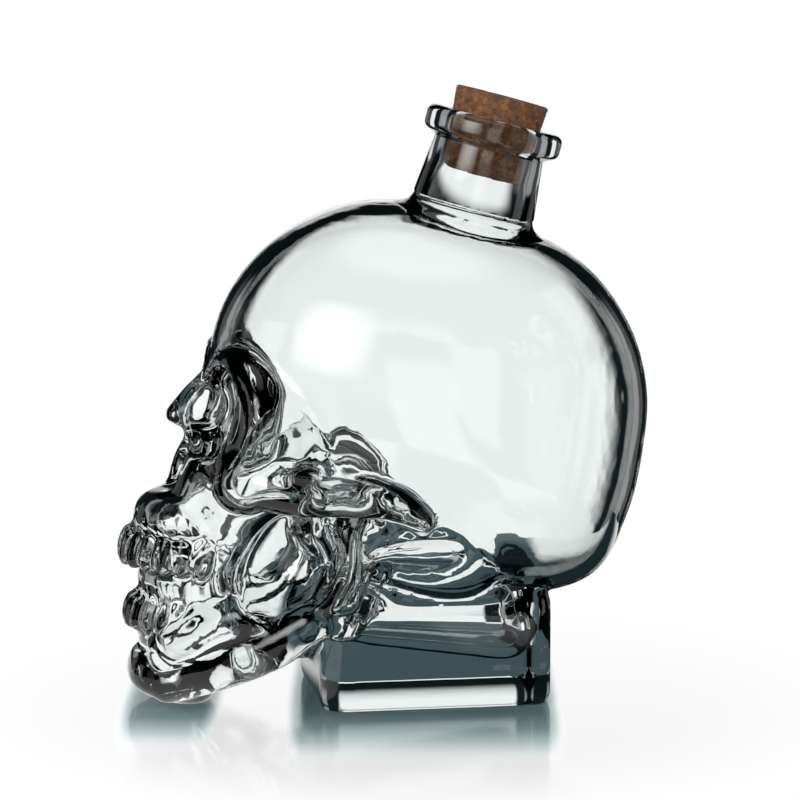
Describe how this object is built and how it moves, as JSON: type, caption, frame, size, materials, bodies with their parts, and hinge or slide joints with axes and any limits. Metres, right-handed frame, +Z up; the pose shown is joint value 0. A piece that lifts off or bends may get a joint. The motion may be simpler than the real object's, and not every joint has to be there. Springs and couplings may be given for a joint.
{
  "type": "skull carafe",
  "caption": "Clear glass carafe blown in the form of a human skull, with a leaning beaded neck and a tapered cork stopper that pulls out.",
  "frame": {"origin": "centre of the block foot's flat underside, on the ground that the carafe stands on", "axes": "+Z up; the skull's face looks along -Y; the skull's left side is at +X, and the YZ plane is its plane of symmetry"},
  "size_m": [0.106, 0.1644, 0.1887],
  "materials": {
    "clear_glass": "polished",
    "natural_cork": "matte"
  },
  "bodies": {
    "bottle": {"glass_bottle": "clear_glass"},
    "stopper": {"cork_stopper": "natural_cork"}
  },
  "joints": [
    {"name": "stopper_pull", "type": "slide", "parent": "bottle", "child": "stopper", "axis": [0, 0.2588, 0.9659], "range_m": [0, 0.05]}
  ]
}
